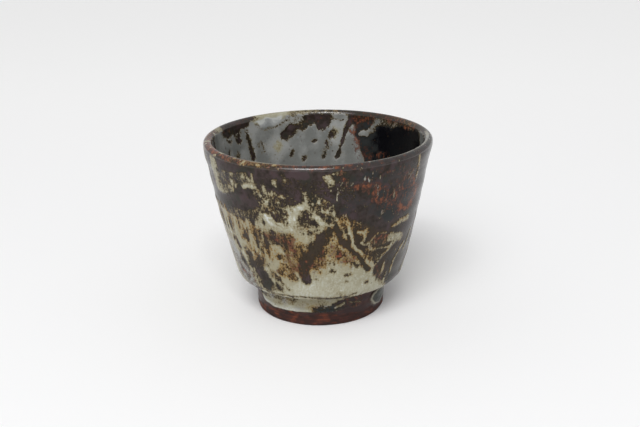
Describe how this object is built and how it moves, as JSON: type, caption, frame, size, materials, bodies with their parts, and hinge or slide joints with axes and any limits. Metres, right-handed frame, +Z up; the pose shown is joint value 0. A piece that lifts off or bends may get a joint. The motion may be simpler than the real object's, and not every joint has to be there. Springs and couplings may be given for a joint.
{
  "type": "tea bowl",
  "caption": "Round stoneware tea bowl with a straight flaring wall, rounded lip, turned-under heel and tall foot ring, in pale ash glaze poured over dark iron glaze.",
  "frame": {"origin": "centre of the resting face of the foot ring, on the surface that the bowl stands on", "axes": "+Z up along the axis the bowl was thrown on; -Y is the front that the picture shows, +X its right"},
  "size_m": [0.1, 0.1, 0.0784],
  "materials": {
    "bare_clay": "unglazed fired red-brown stoneware, slightly rough",
    "iron_glaze": "dark purple-brown iron glaze, satin to glossy",
    "rust_glaze": "thin rust-red glaze broken over the lip, glossy",
    "pale_glaze": "pale cream-grey ash glaze with ochre edges, satin gloss",
    "ash_bead": "pooled grey-green glaze, glossy"
  },
  "bodies": {
    "root": {"clay_body": "bare_clay", "foot_ring": "bare_clay", "outer_iron_glaze": "iron_glaze", "inner_iron_glaze": "iron_glaze", "rim_glaze": "rust_glaze", "outer_pale_glaze": "pale_glaze", "inner_pale_glaze": "pale_glaze", "foot_glaze_run": "pale_glaze", "foot_glaze_bead": "ash_bead"}
  },
  "joints": []
}
